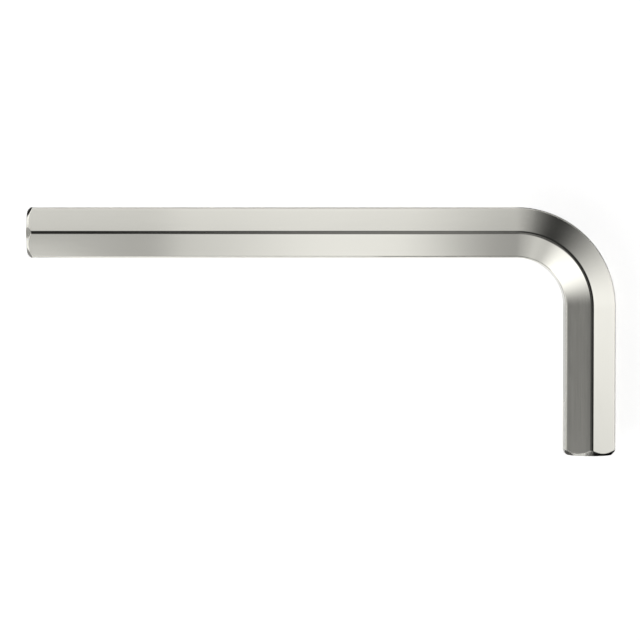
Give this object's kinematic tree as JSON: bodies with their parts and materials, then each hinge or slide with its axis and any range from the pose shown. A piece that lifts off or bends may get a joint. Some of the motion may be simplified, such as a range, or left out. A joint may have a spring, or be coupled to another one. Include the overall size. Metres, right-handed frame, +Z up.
{
  "type": "hex key",
  "caption": "L-shaped hexagonal steel key with rolled corners, one right-angle bend and bevelled tips, for turning socket-head screws.",
  "frame": {"origin": "on the surface that the key lies on, under the middle of its outline", "axes": "+Z up from the surface, with the plane of the bend level; the long arm runs along X with its tip towards -X, and the short arm runs along Y with its tip towards -Y"},
  "size_m": [0.1164, 0.0492, 0.0113],
  "materials": {
    "plated_steel": "satin"
  },
  "bodies": {
    "root": {"hex_key": "plated_steel"}
  },
  "joints": []
}
